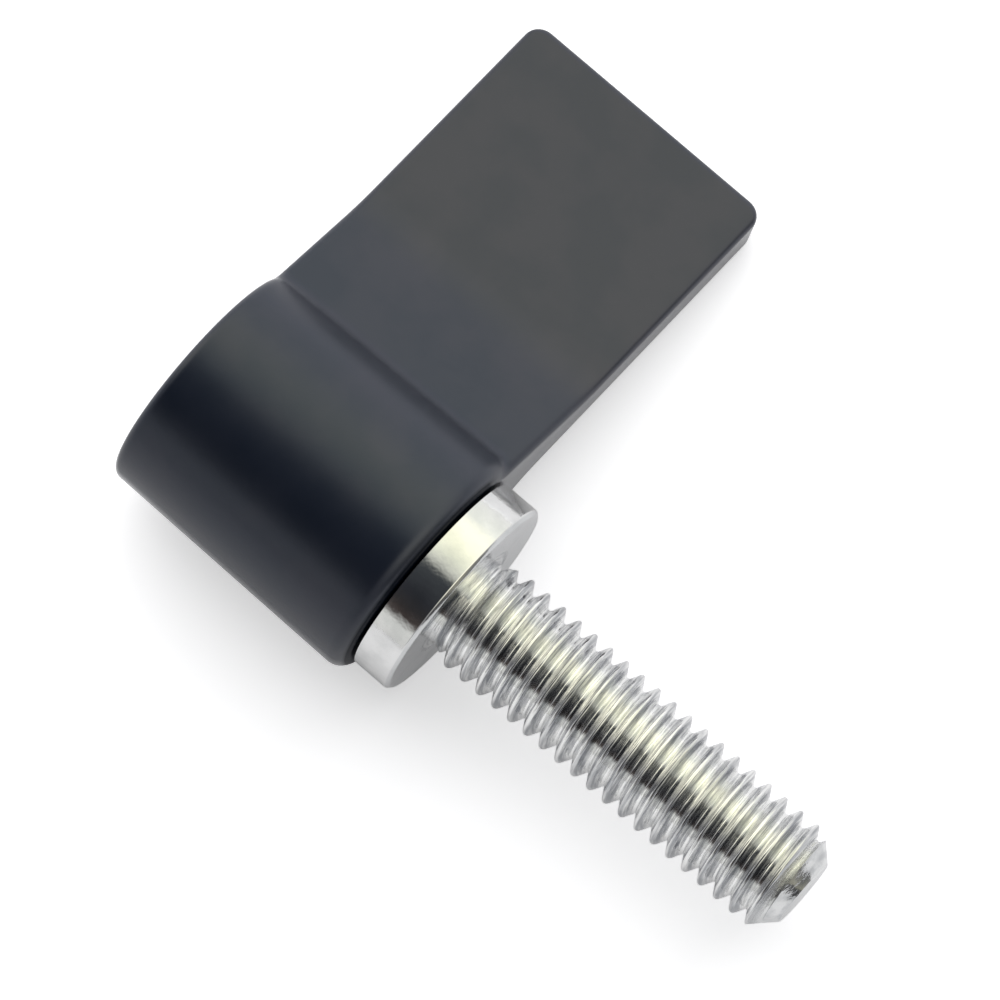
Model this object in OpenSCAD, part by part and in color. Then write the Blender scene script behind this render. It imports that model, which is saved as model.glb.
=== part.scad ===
// Thumb screw: a cast lever handle on a turned steel stud with an M6 x 1 right-hand thread.
// The screw lies on its side, as it comes to rest: hub and blade tip share one floor plane.
// +X runs along the stud to its tip, and the origin is the centre of the collar's bearing face.

/* [Stud] */
// Outside diameter of the thread
thread_d = 5.9; // [4.5:0.1:7]
// Length of the threaded shank, from the collar's bearing face to the tip
shank_l = 21.45; // [12:0.5:40]
// Diameter of the flat end of the tip
tip_d = 3.56; // [2:0.02:4.4]
// Diameter of the collar
collar_d = 11.16; // [9:0.02:12]
// Thickness of the collar
collar_t = 2.13; // [1:0.01:4]
// Chamfer on the rim of the collar's bearing face
collar_chamfer = 0.2; // [0.05:0.05:0.5]
// Width across the flats of the hexagonal spigot that is cast into the handle
spigot_af = 6.6; // [5:0.1:7.4]
// Length of the spigot, from the collar's back face
spigot_l = 9.6; // [6:0.1:12]
// Width of the locking groove round the spigot
groove_w = 2; // [1:0.1:3]
// Depth of the locking groove
groove_depth = 0.7; // [0.3:0.1:1]

/* [Hub] */
// Diameter of the hub at its top
hub_top_d = 12.5; // [11:0.1:15]
// Diameter of the hub at its base, larger by the draft of the casting
hub_base_d = 12.86; // [11.4:0.02:15.4]
// Length of the hub, and width of the blade
hub_l = 14.75; // [13.5:0.05:22]
// Radius of the rounded edge at the base of the hub
base_edge_r = 0.9; // [0.4:0.1:1.2]
// Height of the raised seat under the hub that the collar bears on
seat_h = 0.13; // [0.05:0.01:0.5]
// Diameter of the raised seat
seat_d = 9.4; // [8.8:0.1:10]

/* [Blade] */
// Reach of the blade from the stud's axis to its tip
blade_reach = 25.3; // [18:0.1:40]
// Thickness of the blade
blade_t = 2.9; // [2:0.1:5]
// Distance from the stud's axis at which the blade's upper face starts to rise towards the hub
ramp_start = 11.85; // [9:0.05:16]
// Slope of that ramp
ramp_angle = 16.5; // [8:0.5:25]
// Radius at the foot of the ramp
ramp_foot_r = 8.5; // [3:0.5:12]
// Radius of the crease between the ramp and the hub
crease_r = 1.7; // [0.5:0.1:3]
// Radius of the hollow on the blade's other face
back_fillet_r = 4; // [2:0.5:12]
// Radius of the blade's two outer corners, seen face on
corner_r = 0.95; // [0.7:0.05:3]
// Radius of the rounded edges
edge_r = 0.45; // [0.2:0.05:0.6]

/* [Fit] */
// Clearance between the spigot and the handle
spigot_gap = 0.02; // [0:0.01:0.1]

/* [Hidden] */
base_x = -collar_t - seat_h;
top_x = base_x - hub_l;
base_r = hub_base_d / 2;
top_r = hub_top_d / 2;
half_t = blade_t / 2;
tip_chamfer = (thread_d - tip_d) / 2;
// Angle below level at which the blade's tip edge meets the floor that the hub lies on
tip_arm = blade_reach - edge_r;
tip_drop = half_t - edge_r;
droop = asin((base_r - edge_r) / norm([tip_arm, tip_drop])) - atan2(tip_drop, tip_arm);
// Smoothness of the skinned handle: points round the hub, the crease, the ramp's foot, the hollow
// opposite them and a tip edge, and rings in each end
hub_points = 56;
crease_points = 6;
foot_points = 4;
hollow_points = crease_points + foot_points;
edge_points = 6;
end_rings = 9;
least_r = 0.02;
cut_over = 0.1;
hex_sides = 6;
$fn = 96;

// n points of an arc about [cy, cz] from angle a0 to a1, both ends included
function arc(cy, cz, r, a0, a1, n) =
    [for (i = [0:n - 1]) let (a = a0 + (a1 - a0) * i / (n - 1)) [cy + r * cos(a), cz + r * sin(a)]];

// How far a rounded edge of radius r stands back at a depth under the end face
function stand_back(r, depth) = depth >= r ? 0 : r - sqrt(r * r - (r - depth) * (r - depth));

// Hub radius at x, on the straight draft from top to base
function hub_r(x) = top_r + (base_r - top_r) * (x - top_x) / hub_l;

// Centre of the crease: a radius r1 above the ramp's line, and r1 outside a hub of radius r
function crease_centre(r, r1, face_in) =
    let (
        across = [sin(ramp_angle), cos(ramp_angle)],
        along = [-cos(ramp_angle), sin(ramp_angle)],
        q = [ramp_start, half_t] + (r1 - face_in) * across,
        back = q * along
    )
    q - (back + sqrt(back * back - q * q + (r + r1) * (r + r1))) * along;

// Outline of the handle at x, in the blade's own plane: hub, hollow, tip, blade face, ramp and crease
function outline(x) =
    let (
        top_depth = x - top_x,
        base_depth = base_x - x,
        depth = min(top_depth, base_depth),
        hub_edge_r = top_depth < base_depth ? edge_r : base_edge_r,
        face_in = stand_back(edge_r, depth),
        r = hub_r(x) - stand_back(hub_edge_r, depth),
        face = half_t - face_in,
        tip = blade_reach - stand_back(corner_r, depth),
        tip_r = max(edge_r - face_in, least_r),
        foot_r = ramp_foot_r + face_in,
        foot_y = ramp_start + ramp_foot_r * tan(ramp_angle / 2),
        cr = crease_r + face_in,
        c = crease_centre(r, cr, face_in),
        bf = back_fillet_r + face_in,
        bz = face + bf,
        by = sqrt((r + bf) * (r + bf) - bz * bz),
        fa = atan2(c[1], c[0]),
        ba = atan2(bz, by)
    )
    concat(
        arc(0, 0, r, fa + 360 / hub_points, 360 - ba, hub_points),
        arc(by, -bz, bf, 180 - ba - 60 / hollow_points, 90, hollow_points),
        arc(tip - tip_r, -face + tip_r, tip_r, -90, 0, edge_points),
        arc(tip - tip_r, face - tip_r, tip_r, 0, 90, edge_points),
        arc(foot_y, face + foot_r, foot_r, 270, 270 - ramp_angle, foot_points),
        arc(c[0], c[1], cr, 270 - ramp_angle, 180 + fa, crease_points)
    );

// Where the outlines stand along the hub: close together in the two rounded ends
end_depth = max(corner_r, base_edge_r, edge_r);
steps = [for (i = [0:end_rings]) end_depth * (1 - cos(90 * i / end_rings))];
ring_x = concat(
    [for (s = steps) top_x + s],
    [for (i = [end_rings:-1:0]) base_x - steps[i]]
);

// Triangles that close a ring: a ladder of rungs from the middle of the hub's arc out to the blade's tip
function cap(start, n, mid) =
    [
        for (k = [0:n / 2 - 2])
            let (
                a = start + (mid - 1 - k + n) % n,
                b = start + (mid + k) % n,
                c = start + (mid + k + 1) % n,
                d = start + (mid - 2 - k + n) % n
            )
            each [[a, b, c], [a, c, d]]
    ];

// Triangles turned over, to face the other way
function flipped(faces) = [for (f = faces) [f[2], f[1], f[0]]];

// Closed skin over a stack of rings that all have the same even number of points
module skin(rings, mid) {
    n = len(rings[0]);
    m = len(rings);
    points = [for (ring = rings) each ring];
    sides = [
        for (j = [0:m - 2], i = [0:n - 1])
            let (a = j * n + i, b = j * n + (i + 1) % n)
            each [[a, b + n, b], [a, a + n, b + n]]
    ];
    polyhedron(
        points = points,
        faces = concat(sides, cap(0, n, mid), flipped(cap((m - 1) * n, n, mid))),
        convexity = 4
    );
}

// Cylinder along X between two stations
module bar(x0, x1, d, sides = $fn) {
    translate([x0, 0, 0]) rotate([0, 90, 0]) cylinder(h = x1 - x0, d = d, $fn = sides);
}

// Hexagonal spigot with its locking groove, grown by gap on every side for the cavity
module spigot(gap, back_x) {
    end_x = -collar_t - spigot_l;
    groove_x = end_x + (spigot_l - seat_h - groove_w) / 2;
    over_corners = (spigot_af + 2 * gap) / cos(180 / hex_sides);
    groove_corners = (spigot_af - 2 * groove_depth + 2 * gap) / cos(180 / hex_sides);
    bar(end_x - gap, groove_x + gap, over_corners, hex_sides);
    bar(groove_x, groove_x + groove_w, groove_corners, hex_sides);
    bar(groove_x + groove_w - gap, back_x, over_corners, hex_sides);
}

// Handle as one casting: hub and blade skinned together, the seat, and the cavity round the spigot
module lever_handle() {
    color("#4c4f54")
    rotate([-droop, 0, 0])
    difference() {
        union() {
            skin([for (x = ring_x) [for (p = outline(x)) [x, p[0], p[1]]]], hub_points / 2);
            bar(base_x - seat_h, -collar_t, seat_d);
        }
        spigot(spigot_gap, -collar_t + cut_over);
    }
}

// Stud turned in one piece: collar, shank at the thread's outside diameter, chamfered tip, spigot
module threaded_stud() {
    shank_r = thread_d / 2;
    collar_r = collar_d / 2;
    color("#c8cac6") {
        rotate([0, 90, 0])
        rotate_extrude()
        polygon([
            [0, -collar_t],
            [collar_r, -collar_t],
            [collar_r, -collar_chamfer],
            [collar_r - collar_chamfer, 0],
            [shank_r, 0],
            [shank_r, shank_l - tip_chamfer],
            [tip_d / 2, shank_l],
            [0, shank_l]
        ]);
        rotate([-droop, 0, 0]) spigot(0, -collar_t);
    }
}

lever_handle();
threaded_stud();
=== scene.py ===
"""Thumb screw lying on a white table: cast lever handle, turned and threaded stud, studio light.

+X runs along the stud to its tip, the origin is the centre of the collar's bearing face, and +Z
is up.
"""

import math

import bmesh
import bpy
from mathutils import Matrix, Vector


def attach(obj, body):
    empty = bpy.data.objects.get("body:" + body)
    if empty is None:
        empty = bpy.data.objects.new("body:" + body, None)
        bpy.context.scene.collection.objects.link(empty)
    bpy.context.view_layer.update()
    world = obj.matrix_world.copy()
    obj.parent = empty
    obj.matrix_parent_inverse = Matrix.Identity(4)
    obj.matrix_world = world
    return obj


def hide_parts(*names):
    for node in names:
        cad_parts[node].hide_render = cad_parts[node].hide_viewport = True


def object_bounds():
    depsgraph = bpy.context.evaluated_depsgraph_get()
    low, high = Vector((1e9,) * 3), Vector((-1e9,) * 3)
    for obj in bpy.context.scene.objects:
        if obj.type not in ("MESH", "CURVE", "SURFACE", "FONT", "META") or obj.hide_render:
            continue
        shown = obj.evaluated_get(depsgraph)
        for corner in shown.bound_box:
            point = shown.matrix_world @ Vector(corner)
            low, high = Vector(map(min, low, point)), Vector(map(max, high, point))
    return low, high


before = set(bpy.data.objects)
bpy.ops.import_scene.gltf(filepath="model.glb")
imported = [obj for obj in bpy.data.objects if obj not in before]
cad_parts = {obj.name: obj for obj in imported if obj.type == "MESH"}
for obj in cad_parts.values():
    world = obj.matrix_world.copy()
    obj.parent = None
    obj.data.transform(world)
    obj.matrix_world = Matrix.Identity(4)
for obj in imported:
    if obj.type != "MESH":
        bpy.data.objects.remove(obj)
cad_low, cad_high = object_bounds()

# The pieces are modelled in millimetres and brought down to metres when they are finished
MM = 0.001
FULL_TURN = 2 * math.pi
QUARTER_TURN = math.pi / 2
ALONG_STUD = (1, 0, 0)

# Vertices closer than this are one
WELD = 0.0005

# Stud
THREAD_R = 2.95
THREAD_PITCH = 1.0
THREAD_DEPTH = 0.6
THREAD_CREST = 0.15
THREAD_FLANK = math.radians(30)
THREAD_ROUND = 0.07
THREAD_PHASE = 0.85
NECK_R = 2.5
NECK_L = 0.45
NECK_TAPER = 0.9
SHANK_L = 21.45
TIP_R = 1.78
COLLAR_R = 5.58
COLLAR_T = 2.13
COLLAR_CHAMFER = 0.2
COLLAR_EDGE = 0.045
SPIGOT_FLATS = 6.6
SPIGOT_L = 9.6
SPIGOT_SIDES = 6
SPIGOT_GAP = 0.02
GROOVE_W = 2.0
GROOVE_DEPTH = 0.7

# How far the thread's blank goes into the collar, and how far it stands out over the crests
BLANK_BURIED = 0.2
BLANK_PROUD = 0.06

# Turns wound at each end of the thread, and cut off again
SPARE_TURNS = 2

# Handle
HUB_TOP_R = 6.245
HUB_BASE_R = 6.424
HUB_L = 14.75
SEAT_H = 0.13
SEAT_R = 4.7
BLADE_REACH = 25.295
BLADE_HALF_T = 1.45
RAMP_START = 11.85
RAMP_SLOPE = math.radians(16.5)
RAMP_FOOT_R = 8.5
CREASE_R = 1.7
BACK_HOLLOW_R = 4.0
BLADE_CORNER_R = 0.95
BLADE_EDGE_R = 0.45
HUB_EDGE_R = 0.9
BASE_X = -COLLAR_T - SEAT_H
TOP_X = BASE_X - HUB_L
SPIGOT_FRONT = -COLLAR_T + SEAT_H

# Steps round a turned piece, a turn of the thread and the collar, and across a rounded edge
TURNED_STEPS = 96
THREAD_STEPS = 96
COLLAR_STEPS = 128
EDGE_STEPS = 3

# Steps of the handle's arcs and of its rounded ends
HUB_STEPS = 112
BACK_STEPS = 14
FOOT_STEPS = 8
CREASE_STEPS = 12
TIP_STEPS = 7
END_STEPS = 10
LEAST_R = 0.02

# Degrees up to which neighbouring faces are shaded as one
HANDLE_SMOOTH = 32
STUD_SMOOTH = 35

# The blade droops until its tip edge meets the table that the hub lies on
TIP_ARM = BLADE_REACH - BLADE_EDGE_R
TIP_DROP = BLADE_HALF_T - BLADE_EDGE_R
TIP_TO_FLOOR = math.asin((HUB_BASE_R - BLADE_EDGE_R) / math.hypot(TIP_ARM, TIP_DROP))
DROOP = TIP_TO_FLOOR - math.atan2(TIP_DROP, TIP_ARM)


# Modelling by hand

def leave_all_alone():
    """Object mode with nothing selected."""
    if bpy.context.mode != "OBJECT":
        bpy.ops.object.mode_set(mode="OBJECT")
    bpy.ops.object.select_all(action="DESELECT")


def take(piece):
    """Makes one piece the active and only selected one."""
    leave_all_alone()
    piece.select_set(True)
    bpy.context.view_layer.objects.active = piece


def pick(kind, wanted):
    """In edit mode, selects the vertices or edges that pass a test."""
    bpy.ops.mesh.select_mode(type=kind)
    bpy.ops.mesh.select_all(action="DESELECT")
    shape = bmesh.from_edit_mesh(bpy.context.object.data)
    for part in shape.verts if kind == "VERT" else shape.edges:
        if wanted(part):
            part.select_set(True)
    bmesh.update_edit_mesh(bpy.context.object.data)


def start_point(place):
    """A small triangle merged to one vertex, from which a line is drawn. Stays in edit mode."""
    if bpy.context.mode == "EDIT_MESH":
        bpy.ops.mesh.select_mode(type="VERT")
        bpy.ops.mesh.select_all(action="DESELECT")
    else:
        leave_all_alone()
    bpy.ops.mesh.primitive_circle_add(vertices=3, radius=0.1, location=place)
    if bpy.context.mode != "EDIT_MESH":
        piece = bpy.context.object
        bpy.ops.object.transform_apply(location=True, rotation=True, scale=True)
        take(piece)
        bpy.ops.object.mode_set(mode="EDIT")
        bpy.ops.mesh.select_mode(type="VERT")
        bpy.ops.mesh.select_all(action="SELECT")
    bpy.ops.mesh.merge(type="CENTER")
    return Vector(place)


def line_to(here, there):
    """Extrudes the last vertex to a new place."""
    bpy.ops.mesh.extrude_region_move(TRANSFORM_OT_translate={"value": Vector(there) - here})
    return Vector(there)


def arc_round(here, centre, turn, steps):
    """Spins the last vertex round a centre, from +Y towards +Z. The tool turns the other way."""
    bpy.ops.mesh.spin(steps=steps, angle=-turn, center=centre, axis=ALONG_STUD)
    y, z = here.y - centre[1], here.z - centre[2]
    return Vector((
        here.x,
        centre[1] + y * math.cos(turn) - z * math.sin(turn),
        centre[2] + y * math.sin(turn) + z * math.cos(turn),
    ))


def weld_and_face_out():
    """Merges doubled vertices and turns every face outwards."""
    bpy.ops.mesh.select_all(action="SELECT")
    bpy.ops.mesh.remove_doubles(threshold=WELD)
    bpy.ops.mesh.select_all(action="SELECT")
    bpy.ops.mesh.normals_make_consistent(inside=False)


def turned(name, profile, steps=TURNED_STEPS):
    """Draws half a profile of (x, radius) points and spins it once round the stud's axis."""
    points = [Vector((x, r, 0)) for x, r in profile]
    here = start_point(points[0])
    for there in points[1:]:
        here = line_to(here, there)
    bpy.ops.mesh.select_all(action="SELECT")
    bpy.ops.mesh.spin(steps=steps, angle=FULL_TURN, center=(0, 0, 0), axis=ALONG_STUD)
    weld_and_face_out()
    piece = bpy.context.object
    piece.name = name
    leave_all_alone()
    return piece


def combine(piece, other, how):
    """Joins or cuts two solids, and clears the second one away."""
    take(piece)
    bpy.ops.object.modifier_add(type="BOOLEAN")
    step = piece.modifiers[-1]
    step.operation = how
    step.solver = "EXACT"
    step.object = other
    bpy.ops.object.modifier_apply(modifier=step.name)
    take(other)
    bpy.ops.object.delete()
    take(piece)
    bpy.ops.object.mode_set(mode="EDIT")
    weld_and_face_out()
    leave_all_alone()


def let_droop(piece):
    """Turns a piece about the stud's axis, as the screw lies on the table."""
    piece.rotation_euler = (-DROOP, 0, 0)
    take(piece)
    bpy.ops.object.transform_apply(location=True, rotation=True, scale=True)


def finished(piece, degrees):
    """Brings a piece down to metres and shades it smooth, with edges kept above an angle."""
    piece.scale = (MM, MM, MM)
    take(piece)
    bpy.ops.object.transform_apply(location=True, rotation=True, scale=True)
    bpy.ops.object.shade_smooth_by_angle(angle=math.radians(degrees))
    bpy.ops.object.modifier_add(type="WEIGHTED_NORMAL")
    step = piece.modifiers[-1]
    step.keep_sharp = True
    bpy.ops.object.modifier_apply(modifier=step.name)
    leave_all_alone()


# The spigot, on the stud and as its cavity in the handle

def spigot(name, gap):
    """Hexagonal spigot with its locking groove, from the inner end forward."""
    back_x = -COLLAR_T - SPIGOT_L
    groove_x = back_x + (SPIGOT_L - SEAT_H - GROOVE_W) / 2
    over_corners = (SPIGOT_FLATS / 2 + gap) / math.cos(math.pi / SPIGOT_SIDES)
    shrink = (SPIGOT_FLATS / 2 - GROOVE_DEPTH + gap) / (SPIGOT_FLATS / 2 + gap)
    leave_all_alone()
    bpy.ops.mesh.primitive_circle_add(
        vertices=SPIGOT_SIDES, radius=over_corners, fill_type="NGON",
        location=(back_x - gap, 0, 0), rotation=(0, QUARTER_TURN, 0),
    )
    bpy.ops.object.transform_apply(location=True, rotation=True, scale=True)
    piece = bpy.context.object
    piece.name = name
    take(piece)
    bpy.ops.object.mode_set(mode="EDIT")
    bpy.ops.mesh.select_all(action="SELECT")

    def onward(x0, x1):
        """Extrudes the front face along the stud."""
        bpy.ops.mesh.extrude_region_move(TRANSFORM_OT_translate={"value": (x1 - x0, 0, 0)})

    def waist(x, factor):
        """Extrudes the front face on the spot and scales it, for a step in width."""
        bpy.ops.mesh.extrude_region_move(TRANSFORM_OT_translate={"value": (0, 0, 0)})
        bpy.ops.transform.resize(value=(1, factor, factor), center_override=(x, 0, 0))

    onward(back_x - gap, groove_x + gap)
    waist(groove_x + gap, shrink)
    onward(groove_x + gap, groove_x + GROOVE_W - gap)
    waist(groove_x + GROOVE_W - gap, 1 / shrink)
    onward(groove_x + GROOVE_W - gap, SPIGOT_FRONT)
    weld_and_face_out()
    leave_all_alone()
    let_droop(piece)
    leave_all_alone()
    return piece


# Lever handle

def stands_back(radius, depth):
    """How far a rounded edge stands back at a depth under the end face."""
    return 0 if depth >= radius else radius - math.sqrt(radius ** 2 - (radius - depth) ** 2)


def hollow_centre(hub_r, face, hollow_r):
    """Where the centre of a hollow lies, tangent to the blade's face and to the hub."""
    z = face + hollow_r
    return math.sqrt((hub_r + hollow_r) ** 2 - z * z), z


def crease_centre(hub_r, face, crease_r, face_in):
    """Where the centre of the crease lies, tangent to the ramp and to the hub."""
    above = crease_r - face_in
    y = RAMP_START + above * math.sin(RAMP_SLOPE)
    z = face + face_in + above * math.cos(RAMP_SLOPE)
    back = z * math.sin(RAMP_SLOPE) - y * math.cos(RAMP_SLOPE)
    way = -back - math.sqrt(back * back - y * y - z * z + (hub_r + crease_r) ** 2)
    return y - way * math.cos(RAMP_SLOPE), z + way * math.sin(RAMP_SLOPE)


def handle_outline(x):
    """Draws the handle's outline square to the stud: hub, back hollow, tip, ramp and crease."""
    top_depth, base_depth = x - TOP_X, BASE_X - x
    depth = min(top_depth, base_depth)
    hub_edge = BLADE_EDGE_R if top_depth < base_depth else HUB_EDGE_R
    face_in = stands_back(BLADE_EDGE_R, depth)
    draft = (HUB_BASE_R - HUB_TOP_R) * top_depth / HUB_L
    hub_r = HUB_TOP_R + draft - stands_back(hub_edge, depth)
    face = BLADE_HALF_T - face_in
    tip = BLADE_REACH - stands_back(BLADE_CORNER_R, depth)
    tip_r = max(BLADE_EDGE_R - face_in, LEAST_R)
    foot_y = RAMP_START + RAMP_FOOT_R * math.tan(RAMP_SLOPE / 2)
    crease_r = CREASE_R + face_in
    front_y, front_z = crease_centre(hub_r, face, crease_r, face_in)
    back_y, back_z = hollow_centre(hub_r, face, BACK_HOLLOW_R + face_in)
    front_turn = math.atan2(front_z, front_y)
    back_turn = math.atan2(back_z, back_y)
    ramp_y = front_y - crease_r * math.sin(RAMP_SLOPE)
    ramp_z = front_z - crease_r * math.cos(RAMP_SLOPE)

    first = start_point((x, hub_r * math.cos(front_turn), hub_r * math.sin(front_turn)))
    here = arc_round(first, (x, 0, 0), FULL_TURN - front_turn - back_turn, HUB_STEPS)
    here = arc_round(here, (x, back_y, -back_z), back_turn - QUARTER_TURN, BACK_STEPS)
    here = line_to(here, (x, tip - tip_r, -face))
    here = arc_round(here, (x, tip - tip_r, tip_r - face), QUARTER_TURN, TIP_STEPS)
    here = line_to(here, (x, tip, face - tip_r))
    here = arc_round(here, (x, tip - tip_r, face - tip_r), QUARTER_TURN, TIP_STEPS)
    here = line_to(here, (x, foot_y, face))
    here = arc_round(here, (x, foot_y, BLADE_HALF_T + RAMP_FOOT_R), -RAMP_SLOPE, FOOT_STEPS)
    here = line_to(here, (x, ramp_y, ramp_z))
    arc_round(here, (x, front_y, front_z), front_turn + RAMP_SLOPE - QUARTER_TURN, CREASE_STEPS)


def lies_at(edge, x):
    """Do both ends of an edge lie at this place along the stud?"""
    return all(abs(vert.co.x - x) < WELD for vert in edge.verts)


def lever_handle():
    """Cast handle: outlines, close together in the rounded ends, bridged to one closed skin."""
    round_depth = max(BLADE_CORNER_R, HUB_EDGE_R, BLADE_EDGE_R)
    turns = [QUARTER_TURN * step / END_STEPS for step in range(END_STEPS + 1)]
    depths = [round_depth * (1 - math.cos(turn)) for turn in turns]
    stations = [TOP_X + depth for depth in depths] + [BASE_X - depth for depth in reversed(depths)]
    for x in stations:
        handle_outline(x)
    piece = bpy.context.object
    piece.name = "lever_handle_cast"
    bpy.ops.mesh.select_all(action="SELECT")
    bpy.ops.mesh.remove_doubles(threshold=WELD)
    for near, far in zip(stations, stations[1:]):
        pick("EDGE", lambda edge: lies_at(edge, near) or lies_at(edge, far))
        bpy.ops.mesh.bridge_edge_loops()
    for end in (stations[0], stations[-1]):
        pick("EDGE", lambda edge: lies_at(edge, end))
        bpy.ops.mesh.edge_face_add()
    weld_and_face_out()
    leave_all_alone()
    let_droop(piece)

    # The raised seat that the collar bears on, and the cavity round the spigot
    seat = turned("seat", [
        (BASE_X - SEAT_H, 0), (BASE_X - SEAT_H, SEAT_R), (-COLLAR_T, SEAT_R), (-COLLAR_T, 0),
    ])
    combine(piece, seat, "UNION")
    combine(piece, spigot("cavity", SPIGOT_GAP), "DIFFERENCE")
    finished(piece, HANDLE_SMOOTH)
    return piece


# Threaded stud

def thread(first_x, last_x):
    """One pitch of a rounded V, wound as a right-hand helix and cut square at both ends."""
    flank = THREAD_DEPTH * math.tan(THREAD_FLANK)
    root_r = THREAD_R - THREAD_DEPTH
    first_crest = first_x + (THREAD_PHASE - first_x) % THREAD_PITCH
    start = first_crest - (SPARE_TURNS + 0.5) * THREAD_PITCH
    root = (THREAD_PITCH - 2 * flank - THREAD_CREST) / 2
    profile = [
        (start, root_r),
        (start + root, root_r),
        (start + root + flank, THREAD_R),
        (start + root + flank + THREAD_CREST, THREAD_R),
        (start + root + 2 * flank + THREAD_CREST, root_r),
        (start + THREAD_PITCH, root_r),
    ]
    here = start_point((profile[0][0], profile[0][1], 0))
    for x, r in profile[1:]:
        here = line_to(here, (x, r, 0))
    piece = bpy.context.object
    piece.name = "thread"
    pick("VERT", lambda vert: profile[1][0] - WELD < vert.co.x < profile[4][0] + WELD)
    bpy.ops.mesh.bevel(offset=THREAD_ROUND, segments=EDGE_STEPS, affect="VERTICES")
    leave_all_alone()
    take(piece)
    bpy.ops.object.modifier_add(type="SCREW")
    winding = piece.modifiers[-1]
    winding.axis = "X"
    winding.angle = FULL_TURN
    winding.screw_offset = THREAD_PITCH
    winding.iterations = math.ceil((last_x - first_x) / THREAD_PITCH) + 2 * SPARE_TURNS
    winding.steps = THREAD_STEPS
    winding.render_steps = THREAD_STEPS
    bpy.ops.object.modifier_apply(modifier=winding.name)
    take(piece)
    bpy.ops.object.mode_set(mode="EDIT")
    weld_and_face_out()
    bpy.ops.mesh.select_all(action="SELECT")
    bpy.ops.mesh.bisect(
        plane_co=(first_x, 0, 0), plane_no=ALONG_STUD,
        use_fill=True, clear_inner=True, threshold=WELD,
    )
    bpy.ops.mesh.select_all(action="SELECT")
    bpy.ops.mesh.bisect(
        plane_co=(last_x, 0, 0), plane_no=ALONG_STUD,
        use_fill=True, clear_outer=True, threshold=WELD,
    )
    weld_and_face_out()
    leave_all_alone()
    return piece


def on_collar_rim(edge):
    """Is it an edge that runs round the collar, at its back or on either side of its chamfer?"""
    near, far = (math.hypot(vert.co.y, vert.co.z) for vert in edge.verts)
    level = abs(edge.verts[0].co.x - edge.verts[1].co.x) < WELD
    return level and abs(near - far) < WELD and near > COLLAR_R - COLLAR_CHAMFER - WELD


def threaded_stud():
    """Stud: the thread cut to its turned blank, then the collar and the spigot joined on."""
    rough = thread(-2 * BLANK_BURIED, SHANK_L + 2 * BLANK_BURIED)
    blank_r = THREAD_R + BLANK_PROUD
    blank = turned("blank", [
        (-BLANK_BURIED, 0),
        (-BLANK_BURIED, NECK_R),
        (NECK_L, NECK_R),
        (NECK_L + NECK_TAPER, blank_r),
        (SHANK_L - (blank_r - TIP_R), blank_r),
        (SHANK_L, TIP_R),
        (SHANK_L, 0),
    ])
    combine(rough, blank, "INTERSECT")
    collar = turned("collar", [
        (-COLLAR_T, 0),
        (-COLLAR_T, COLLAR_R),
        (-COLLAR_CHAMFER, COLLAR_R),
        (0, COLLAR_R - COLLAR_CHAMFER),
        (0, 0),
    ], COLLAR_STEPS)
    take(collar)
    bpy.ops.object.mode_set(mode="EDIT")
    pick("EDGE", on_collar_rim)
    bpy.ops.mesh.bevel(offset=COLLAR_EDGE, segments=EDGE_STEPS, affect="EDGES")
    leave_all_alone()
    combine(collar, rough, "UNION")
    combine(collar, spigot("spigot", 0), "UNION")
    collar.name = "threaded_stud_turned"
    finished(collar, STUD_SMOOTH)
    return collar


# Nodes for the materials and the studio

def new_material(name):
    """Empty node material with its output, and the tree to build it in."""
    material = bpy.data.materials.new(name)
    material.use_nodes = True
    tree = material.node_tree
    tree.nodes.clear()
    tree.nodes.new("ShaderNodeOutputMaterial")
    return material, tree


def add(tree, kind, **settings):
    """Adds a node and sets its properties."""
    node = tree.nodes.new(kind)
    for name, value in settings.items():
        setattr(node, name, value)
    return node


def fill_in(node, **values):
    """Sets inputs by name, with underscores for spaces."""
    for name, value in values.items():
        node.inputs[name.replace("_", " ")].default_value = value
    return node


def join(tree, start, end):
    """Links an output to an input."""
    tree.links.new(start, end)


def feed(tree, value, end):
    """Links an output to an input, or sets the input to a plain number or colour."""
    if isinstance(value, bpy.types.NodeSocket):
        join(tree, value, end)
    else:
        end.default_value = value


def maths(tree, operation, *values):
    """The result of a maths node, from outputs or plain numbers."""
    node = add(tree, "ShaderNodeMath", operation=operation)
    for value, end in zip(values, node.inputs):
        feed(tree, value, end)
    return node.outputs["Value"]


def fade(tree, value, across, low=0.0, high=1.0):
    """Goes from low to high while a value crosses a range, and stays there beyond it."""
    node = fill_in(
        add(tree, "ShaderNodeMapRange"),
        From_Min=across[0], From_Max=across[1], To_Min=low, To_Max=high,
    )
    join(tree, value, node.inputs["Value"])
    return node.outputs["Result"]


def mixed(tree, share, first, second, how="MIX"):
    """Two colours mixed by a share, each an output or a plain colour."""
    node = add(tree, "ShaderNodeMix", data_type="RGBA", blend_type=how)
    for value, name in ((share, "Factor"), (first, "A"), (second, "B")):
        feed(tree, value, node.inputs[name])
    return node.outputs["Result"]


def cloudy(tree, place, scale, detail):
    """Soft noise all over a piece."""
    node = fill_in(add(tree, "ShaderNodeTexNoise"), Scale=scale, Detail=detail)
    join(tree, place, node.inputs["Vector"])
    return node.outputs["Fac"]


def ramp(tree, share, colours):
    """Colours one after the other, from a list of shares and colours."""
    node = add(tree, "ShaderNodeValToRGB")
    stops = node.color_ramp.elements
    while len(stops) < len(colours):
        stops.new(0.5)
    for stop, (position, colour) in zip(stops, colours):
        stop.position = position
        stop.color = colour
    join(tree, share, node.inputs["Fac"])
    return node.outputs["Color"]


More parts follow.
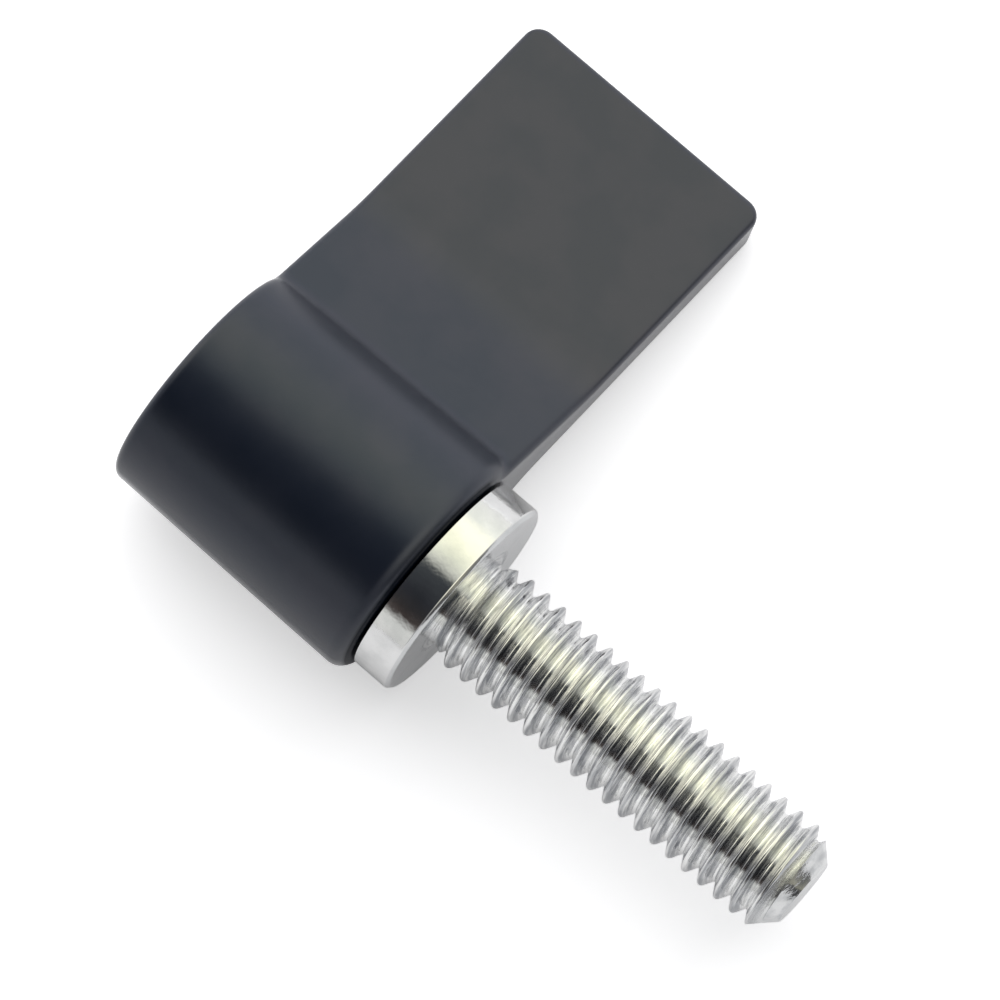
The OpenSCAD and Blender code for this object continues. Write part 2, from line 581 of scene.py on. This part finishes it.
def apart(tree, place):
    """The three parts of a place or a direction."""
    node = add(tree, "ShaderNodeSeparateXYZ")
    join(tree, place, node.inputs["Vector"])
    return node.outputs["X"], node.outputs["Y"], node.outputs["Z"]


def together(tree, *parts):
    """A place from two or three parts."""
    node = add(tree, "ShaderNodeCombineXYZ")
    for part, end in zip(parts, node.inputs):
        join(tree, part, end)
    return node.outputs["Vector"]


def length_of(tree, place):
    """How far a place is from the origin."""
    node = add(tree, "ShaderNodeVectorMath", operation="LENGTH")
    join(tree, place, node.inputs[0])
    return node.outputs["Value"]


def from_to(low, high):
    """A stretch given in millimetres, in metres."""
    return low * MM, high * MM


def grain_group():
    """Fine unevenness of a surface: an even noise in, a tilted normal and a value out."""
    group = bpy.data.node_groups.new("Fine grain", "ShaderNodeTree")
    group.interface.new_socket(name="Vector", in_out="INPUT", socket_type="NodeSocketVector")
    size = group.interface.new_socket(name="Scale", in_out="INPUT", socket_type="NodeSocketFloat")
    size.default_value = 1000
    depth = group.interface.new_socket(name="Height", in_out="INPUT", socket_type="NodeSocketFloat")
    depth.default_value = 0.00001
    group.interface.new_socket(name="Normal", in_out="OUTPUT", socket_type="NodeSocketVector")
    group.interface.new_socket(name="Value", in_out="OUTPUT", socket_type="NodeSocketFloat")
    inside = add(group, "NodeGroupInput")
    outside = add(group, "NodeGroupOutput")
    noise = fill_in(add(group, "ShaderNodeTexNoise"), Detail=3, Roughness=0.55)
    bump = fill_in(add(group, "ShaderNodeBump"), Strength=1.0)
    join(group, inside.outputs["Vector"], noise.inputs["Vector"])
    join(group, inside.outputs["Scale"], noise.inputs["Scale"])
    join(group, noise.outputs["Fac"], bump.inputs["Height"])
    join(group, inside.outputs["Height"], bump.inputs["Distance"])
    join(group, bump.outputs["Normal"], outside.inputs["Normal"])
    join(group, noise.outputs["Fac"], outside.inputs["Value"])
    return group


# Black coat

COAT_IOR = 1.76
COAT_DARKER = (0.0032, 0.0054, 0.0115, 1)
COAT_LIGHTER = (0.0048, 0.0076, 0.0155, 1)
COAT_ROUGHNESS = (0.29, 0.38)
COAT_PATCHES = 320
COAT_GRAIN = 2600.0
COAT_GRAIN_H = 0.0035 * MM
DUST_GREY = (0.22, 0.22, 0.22, 1)

# Tint of the reflections on the hub and on the blade, and the stretch of Y between the two. The
# hub's tint is dimmer, which is painted shade
HUB_SHADED_TINT = (0.675, 0.73, 0.865, 1)
BLADE_TINT = (0.895, 0.88, 1.0, 1)
HUB_TO_BLADE = from_to(8.5, 12.5)
BLADE_SHARE = 0.6
PATCH_SHARE = 0.4

# Strength of the reflections on the hub and on its low side, and the stretch of Y between the two.
# The weaker reflections on the low side are painted shade
HUB_SHINE = 0.5
LOW_SIDE_SHADED_SHINE = 0.37
HUB_TO_LOW = from_to(-3.4, -4.8)

# Extra gloss at a glancing angle, from 0 face on to 1 edge on
GLANCING = (0.74, 0.88)
GLANCE_GLOSS = 0.85
GLANCE_ROUGHNESS = 0.18

# Painted shade in the gap at the collar, taking the hub's reflections away: where it begins along
# X, and where it ends towards the blade
GAP_ALONG = from_to(-2.50, -2.38)
GAP_TO_BLADE = from_to(5.2, 4.4)
GAP_PAINTED_SHADE = 0.94


def black_coat(grain):
    """Satin black coat on a zinc casting: bluish, faintly uneven, with a few specks of dust, and
    painted shade dimming its reflections on the hub's low side and at the collar.
    """
    material, tree = new_material("Satin black coat")
    place = add(tree, "ShaderNodeTexCoord").outputs["Object"]
    surface = add(tree, "ShaderNodeBsdfPrincipled")
    fill_in(surface, IOR=COAT_IOR, Coat_Roughness=GLANCE_ROUGHNESS)
    x, y = apart(tree, place)[:2]
    tone = cloudy(tree, place, COAT_PATCHES, 4)
    join(tree, fade(tree, tone, (0, 1), *COAT_ROUGHNESS), surface.inputs["Roughness"])

    # Specks where the middle of a cell and a light spot of the noise fall together
    cells = fill_in(add(tree, "ShaderNodeTexVoronoi"), Scale=420)
    join(tree, place, cells.inputs["Vector"])
    middle = fade(tree, cells.outputs["Distance"], (0.03, 0.018))
    seldom = fade(tree, cloudy(tree, place, 300, 1), (0.62, 0.66))
    speck = maths(tree, "MULTIPLY", middle, seldom)
    shade = mixed(tree, tone, COAT_DARKER, COAT_LIGHTER)
    join(tree, mixed(tree, speck, shade, DUST_GREY), surface.inputs["Base Color"])

    # Reflections bluer and a little duller on the hub than on the blade, and in random patches on
    # both. The dimming on the hub is painted shade
    on_blade = fade(tree, y, HUB_TO_BLADE, high=BLADE_SHARE)
    patches = fade(tree, tone, (0.4, 0.6), high=PATCH_SHARE)
    toward_blade_tint = maths(tree, "ADD", on_blade, patches)
    join(tree, mixed(tree, toward_blade_tint, HUB_SHADED_TINT, BLADE_TINT), surface.inputs["Specular Tint"])

    # Glossier at a glancing angle, duller on the hub's low side, which is painted shade, and almost
    # black at the collar, which is painted shade in the gap
    glance = fill_in(add(tree, "ShaderNodeLayerWeight"), Blend=0.5)
    sheen = fade(tree, glance.outputs["Facing"], GLANCING, high=GLANCE_GLOSS)
    shine_with_low_shade = fade(tree, y, HUB_TO_LOW, HUB_SHINE, LOW_SIDE_SHADED_SHINE)
    # Painted shade in the gap between hub and collar: the reflections are almost taken away there
    dark = fade(tree, y, GAP_TO_BLADE, high=-GAP_PAINTED_SHADE)
    outside_gap_shade = maths(tree, "MULTIPLY_ADD", fade(tree, x, GAP_ALONG), dark, 1.0)
    for amount, name in ((shine_with_low_shade, "Specular IOR Level"), (sheen, "Coat Weight")):
        join(tree, maths(tree, "MULTIPLY", amount, outside_gap_shade), surface.inputs[name])

    skin = add(tree, "ShaderNodeGroup", node_tree=grain)
    fill_in(skin, Scale=COAT_GRAIN, Height=COAT_GRAIN_H)
    join(tree, place, skin.inputs["Vector"])
    join(tree, skin.outputs["Normal"], surface.inputs["Normal"])
    join(tree, surface.outputs["BSDF"], tree.nodes["Material Output"].inputs["Surface"])
    return material


# Bright plating

# Where the thread's marks take over from the collar's, out from the axis
COLLAR_TO_THREAD = from_to(3.2, 3.0)

# Where the marks are weaker, along the tip's chamfer, and how much of them is left there
TIP_MARKS = from_to(20.7, 20.3)
TIP_SHARE = 0.4

# Scale and height of the marks, on the collar and on the thread
MARK_SCALE = (900, 4600)
MARK_HEIGHT = from_to(0.02, 0.032)

# The marks run on round the stud: one radian counts as this much of the way along it
MARK_TURN = 0.25 * MM

# Painted light and shade across one turn of the thread, from root (0) over crest (0.5) to the next
# root (1)
PAINTED_LIGHT_ACROSS_TURN = [
    (0.00, 0.80), (0.10, 0.45), (0.25, 0.50), (0.40, 0.62), (0.50, 0.60), (0.58, 0.25),
    (0.75, 0.25), (0.86, 0.70), (0.93, 1.00), (1.00, 0.85),
]
ACROSS_SHARE = 0.40
STREAKS = (0.53, 0.83)
THREAD_DARKER = (0.36, 0.37, 0.39, 1)
THREAD_LIGHTER = (0.95, 0.95, 0.94, 1)

# The collar's side is clouded, and its bearing face, from its chamfer on, is greyer
COLLAR_CLOUDS = 700
COLLAR_DARKER = (0.72, 0.725, 0.72, 1)
COLLAR_LIGHTER = (0.82, 0.82, 0.815, 1)
TO_BEARING = from_to(-0.19, -0.15)
BEARING_GREY = (0.84, 0.85, 0.86, 1)
PLATE_ROUGHNESS = (0.07, 0.15)


def thread_painted_light(tree, along, marks):
    """Painted light and shade: roots brightest, flanks towards the tip darkest, and the marks break
    this into streaks.
    """
    turns = maths(tree, "MULTIPLY_ADD", along, 1 / (THREAD_PITCH * MM), 0.25 - THREAD_PHASE)
    levels = [(position, (level, level, level, 1)) for position, level in PAINTED_LIGHT_ACROSS_TURN]
    across = ramp(tree, maths(tree, "FRACT", turns), levels)
    streaked = maths(tree, "MULTIPLY_ADD", across, ACROSS_SHARE, marks)
    return mixed(tree, fade(tree, streaked, STREAKS), THREAD_DARKER, THREAD_LIGHTER)


def plated_steel(grain):
    """Bright plating on steel: clouded on the collar, streaked along the turns of the thread, with
    light and shade painted across each turn.
    """
    material, tree = new_material("Bright plated steel")
    place = add(tree, "ShaderNodeTexCoord").outputs["Object"]
    surface = fill_in(add(tree, "ShaderNodeBsdfPrincipled"), Metallic=1.0)

    # Out from the axis, and round it from the top, so that the seam lies underneath
    x, y, z = apart(tree, place)
    out = length_of(tree, together(tree, y, z))
    turn = maths(tree, "ARCTAN2", maths(tree, "MULTIPLY", y, -1.0), z)

    # Place across the thread, which stays the same along its helix
    climb = maths(tree, "MULTIPLY", turn, -THREAD_PITCH * MM / FULL_TURN)
    along = maths(tree, "ADD", x, climb)
    on_helix = together(tree, along, out, maths(tree, "MULTIPLY", turn, MARK_TURN))

    # The thread's marks are finer and deeper than the collar's
    inside = fade(tree, out, COLLAR_TO_THREAD)
    on_thread = maths(tree, "MULTIPLY", inside, fade(tree, x, TIP_MARKS, low=TIP_SHARE))
    where = add(tree, "ShaderNodeMix", data_type="VECTOR")
    for value, name in ((on_thread, "Factor"), (place, "A"), (on_helix, "B")):
        join(tree, value, where.inputs[name])
    marks = add(tree, "ShaderNodeGroup", node_tree=grain)
    join(tree, where.outputs["Result"], marks.inputs["Vector"])
    join(tree, fade(tree, on_thread, (0, 1), *MARK_SCALE), marks.inputs["Scale"])
    join(tree, fade(tree, on_thread, (0, 1), *MARK_HEIGHT), marks.inputs["Height"])
    join(tree, marks.outputs["Normal"], surface.inputs["Normal"])

    cloud = cloudy(tree, place, COLLAR_CLOUDS, 4)
    side = mixed(tree, fade(tree, cloud, (0.35, 0.55)), COLLAR_DARKER, COLLAR_LIGHTER)
    collar = mixed(tree, fade(tree, x, TO_BEARING), side, BEARING_GREY, "MULTIPLY")
    # On the thread, the colour carries painted light and shade across each turn, broken by the
    # streaks
    tone = mixed(tree, on_thread, collar, thread_painted_light(tree, along, marks.outputs["Value"]))
    join(tree, tone, surface.inputs["Base Color"])
    join(tree, fade(tree, cloud, (0.3, 0.7), *PLATE_ROUGHNESS), surface.inputs["Roughness"])
    join(tree, surface.outputs["BSDF"], tree.nodes["Material Output"].inputs["Surface"])
    return material


# Studio

# Strength of the walls in reflections, and of the wall straight towards the tip, and the stretch
# of the direction's X between the two
STUDIO_STRENGTH = 2.0
DIM_STRENGTH = 0.5
DIM_WALL = (0.74, 0.90)

# Strength of the even light on everything
SOFT_STRENGTH = 0.185

# Degrees round the stud's axis from the blade's side, over the top, to the hub's side, and the
# light there: first square to the axis, then towards its two ends
STUDIO_ROUND = [
    (-180, (0.73, 0.73, 0.72)), (0, (1.00, 1.00, 0.98)), (25, (1.10, 1.12, 1.03)),
    (42, (1.40, 1.38, 1.12)), (60, (1.28, 1.28, 1.00)), (76, (0.95, 0.97, 0.80)),
    (86, (0.66, 0.67, 0.60)), (96, (0.050, 0.056, 0.062)), (125, (0.026, 0.028, 0.034)),
    (139, (0.030, 0.029, 0.031)), (152, (0.058, 0.046, 0.043)), (162, (0.76, 0.77, 0.75)),
    (180, (0.73, 0.73, 0.72)),
]
STUDIO_ENDS = [
    (-180, (0.46, 0.46, 0.47)), (0, (0.66, 0.66, 0.66)), (30, (1.10, 1.09, 0.98)),
    (60, (1.40, 1.37, 1.12)), (98, (1.25, 1.22, 1.02)), (122, (0.62, 0.61, 0.56)),
    (140, (0.30, 0.30, 0.31)), (160, (0.40, 0.40, 0.41)), (180, (0.46, 0.46, 0.47)),
]

# The ends begin this far out along X, measured from a little behind the middle
ENDS_MIDDLE = -0.15
ENDS_BEGIN = (0.32, 0.62)

# The lamp's direction, distance, width and energy
LAMP_TOWARD = (-0.40, 0.48, 0.90)
LAMP_DISTANCE = 0.7
LAMP_WIDTH = 1.35
LAMP_ENERGY = 8.45

# The table's colour, its lift to paper white in the camera, its glow in reflections from near to
# far, and how far from the origin that is
TABLE_WIDTH = 6
TABLE_COLOUR = (0.85, 0.85, 0.86, 1)
TABLE_LIFT = 0.5
TABLE_GLOW = (0.10, 0.42)
GLOW_GROWS = (0.25, 0.8)

# The camera's place in millimetres, its turn in degrees, and its lens and sensor in millimetres
CAMERA_PLACE = (54.556, -74.198, 420.983)
CAMERA_TURN = (12.9435, -1.2865, 41.1459)
CAMERA_LENS = 324
CAMERA_SENSOR = 36

WHITE = (1, 1, 1, 1)


def light_round(tree, share, around):
    """Light that changes round the stud's axis, from a list of degrees and colours."""
    return ramp(tree, share, [
        ((degrees + 180) / 360, [level / STUDIO_STRENGTH for level in light] + [1])
        for degrees, light in around
    ])


def backdrop(tree, **values):
    """A light on the world, from plain values."""
    return fill_in(add(tree, "ShaderNodeBackground"), **values)


def either(tree, share, first, second):
    """One shader or the other."""
    node = add(tree, "ShaderNodeMixShader")
    join(tree, share, node.inputs["Fac"])
    join(tree, first, node.inputs[1])
    join(tree, second, node.inputs[2])
    return node.outputs["Shader"]


def studio_world():
    """White to the camera, soft walls in reflections, and an even soft light on everything else.

    Round the stud's axis they are brightest over the blade's side and dark above the hub's side.
    """
    world = bpy.data.worlds.new("Studio")
    bpy.context.scene.world = world
    world.use_nodes = True
    tree = world.node_tree
    tree.nodes.clear()
    x, y, z = apart(tree, add(tree, "ShaderNodeTexCoord").outputs["Generated"])
    share = fade(tree, maths(tree, "ARCTAN2", z, y), (-math.pi, math.pi))

    # Towards the two ends of the axis there is no dark wall, but the wall at the tip is dim
    end_on = maths(tree, "ABSOLUTE", maths(tree, "ADD", x, -ENDS_MIDDLE))
    walls = mixed(
        tree, fade(tree, end_on, ENDS_BEGIN),
        light_round(tree, share, STUDIO_ROUND), light_round(tree, share, STUDIO_ENDS),
    )
    light = backdrop(tree)
    join(tree, fade(tree, x, DIM_WALL, STUDIO_STRENGTH, DIM_STRENGTH), light.inputs["Strength"])
    join(tree, walls, light.inputs["Color"])
    soft = backdrop(tree, Color=WHITE, Strength=SOFT_STRENGTH)
    white = backdrop(tree, Color=WHITE, Strength=1.0)

    # Reflections show the walls, but what the metal throws back on the table stays soft
    seen = add(tree, "ShaderNodeLightPath")
    straight = maths(tree, "LESS_THAN", seen.outputs["Diffuse Depth"], 0.5)
    in_mirror = maths(tree, "MULTIPLY", seen.outputs["Is Glossy Ray"], straight)
    unseen = either(tree, in_mirror, soft.outputs["Background"], light.outputs["Background"])
    shown = either(tree, seen.outputs["Is Camera Ray"], unseen, white.outputs["Background"])
    join(tree, shown, add(tree, "ShaderNodeOutputWorld").inputs["Surface"])


def softbox():
    """One large soft lamp over the blade and the hub's top, which throws the light shadow."""
    leave_all_alone()
    toward = Vector(LAMP_TOWARD).normalized()
    bpy.ops.object.light_add(type="AREA", location=toward * LAMP_DISTANCE)
    lamp = bpy.context.object
    lamp.name = "softbox"
    lamp.rotation_euler = toward.to_track_quat("Z", "Y").to_euler()
    lamp.data.shape = "DISK"
    lamp.data.size = LAMP_WIDTH
    lamp.data.energy = LAMP_ENERGY
    lamp.data.color = WHITE[:3]
    lamp.visible_glossy = False


def table_white():
    """Matt white, lifted to paper white in the camera, and glowing a little in reflections."""
    material, tree = new_material("White table")
    matt = fill_in(add(tree, "ShaderNodeBsdfDiffuse"), Color=TABLE_COLOUR)
    seen = add(tree, "ShaderNodeLightPath")
    far = length_of(tree, add(tree, "ShaderNodeTexCoord").outputs["Object"])
    glow = fade(tree, far, GLOW_GROWS, *TABLE_GLOW)
    direct = maths(tree, "MULTIPLY", seen.outputs["Is Camera Ray"], TABLE_LIFT)
    strength = maths(tree, "MULTIPLY_ADD", seen.outputs["Is Glossy Ray"], glow, direct)
    lift = fill_in(add(tree, "ShaderNodeEmission"), Color=WHITE)
    join(tree, strength, lift.inputs["Strength"])
    both = add(tree, "ShaderNodeAddShader")
    join(tree, matt.outputs["BSDF"], both.inputs[0])
    join(tree, lift.outputs["Emission"], both.inputs[1])
    join(tree, both.outputs["Shader"], tree.nodes["Material Output"].inputs["Surface"])
    return material


def table():
    """The white table that the hub and the blade's tip edge rest on."""
    leave_all_alone()
    bpy.ops.mesh.primitive_plane_add(size=TABLE_WIDTH, location=(0, 0, cad_low.z))
    top = bpy.context.object
    top.name = "table"
    top.data.materials.append(table_white())


def camera():
    """Long lens, high above the hub's side, as the photograph was framed."""
    leave_all_alone()
    bpy.ops.object.camera_add(
        location=[length * MM for length in CAMERA_PLACE],
        rotation=[math.radians(degrees) for degrees in CAMERA_TURN],
    )
    eye = bpy.context.object
    eye.name = "camera"
    eye.data.lens = CAMERA_LENS
    eye.data.sensor_width = CAMERA_SENSOR
    eye.data.clip_start = 0.01
    eye.data.clip_end = 20
    bpy.context.scene.camera = eye


# The scene

leave_all_alone()
grain = grain_group()

handle = lever_handle()
handle.data.materials.clear()
handle.data.materials.append(black_coat(grain))
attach(handle, "root")
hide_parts("lever_handle")

stud = threaded_stud()
stud.data.materials.clear()
stud.data.materials.append(plated_steel(grain))
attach(stud, "root")
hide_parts("threaded_stud")

table()
studio_world()
softbox()
camera()
bpy.context.scene.view_settings.view_transform = "Standard"
